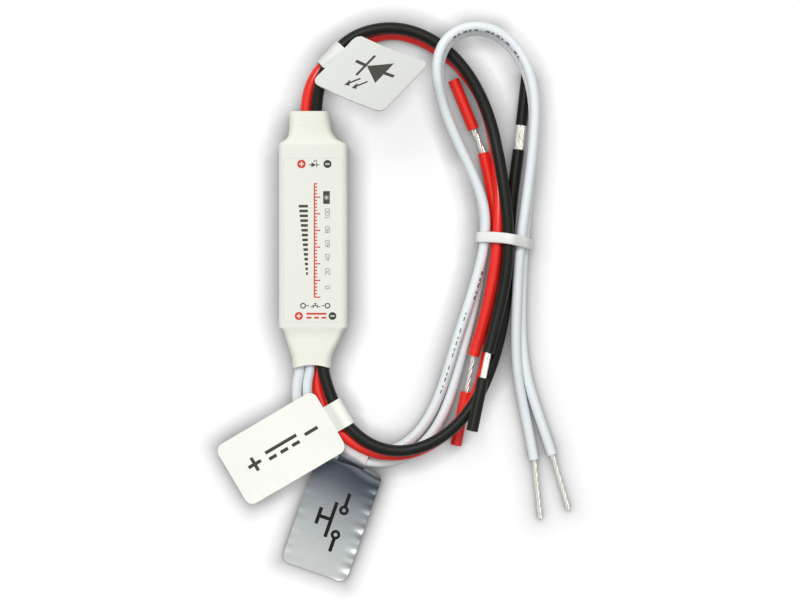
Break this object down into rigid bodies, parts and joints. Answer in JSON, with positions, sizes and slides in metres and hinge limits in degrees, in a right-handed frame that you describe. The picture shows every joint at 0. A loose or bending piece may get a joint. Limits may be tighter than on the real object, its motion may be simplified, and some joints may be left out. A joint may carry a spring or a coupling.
{
  "type": "in-line led dimmer",
  "caption": "In-line LED dimmer: circuit board in a white shrunk sleeve, red and black supply and output leads, white twin push-button lead, tied in a bundle with flag tags.",
  "frame": {"origin": "middle of the sleeve's flat back, on the surface it lies on", "axes": "+Y along the sleeve toward the output leads, +X toward the tied bundle, +Z out of the printed face"},
  "size_m": [0.064, 0.1013, 0.0225],
  "materials": {
    "sleeve_film": "cream white shrunk film, satin",
    "board_laminate": "green solder mask",
    "moulded_black": "black moulding compound",
    "capacitor_ceramic": "tan chip ceramic",
    "resistor_ceramic": "black glazed chip",
    "tinned_copper": "bright tinned strands",
    "black_insulation": "semi-gloss vinyl",
    "red_insulation": "semi-gloss vinyl",
    "white_insulation": "semi-gloss vinyl",
    "tie_nylon": "white nylon strap",
    "tag_film": "white label film",
    "silver_film": "metallised silver label film"
  },
  "bodies": {
    "root": {"shrink_sleeve": "sleeve_film", "circuit_board": "board_laminate", "power_transistor": "moulded_black", "controller_chip": "moulded_black", "voltage_regulator": "moulded_black", "protection_diode": "moulded_black", "input_capacitor": "capacitor_ceramic", "output_capacitor": "capacitor_ceramic", "chip_capacitors": "capacitor_ceramic", "shunt_resistor": "resistor_ceramic", "chip_resistors": "resistor_ceramic", "solder_joints": "tinned_copper", "soldered_tails": "tinned_copper", "led_lead_black": "black_insulation", "led_slug_black": "black_insulation", "supply_lead_black": "black_insulation", "supply_slug_black": "black_insulation", "led_lead_red": "red_insulation", "led_slug_red": "red_insulation", "supply_lead_red": "red_insulation", "supply_slug_red": "red_insulation", "button_lead_a": "white_insulation", "button_lead_b": "white_insulation", "led_core_black": "tinned_copper", "led_core_red": "tinned_copper", "supply_core_black": "tinned_copper", "supply_core_red": "tinned_copper", "button_core_a": "tinned_copper", "button_core_b": "tinned_copper", "bundle_tie": "tie_nylon", "led_tag": "tag_film", "supply_tag": "tag_film", "button_tag": "silver_film"}
  },
  "joints": []
}
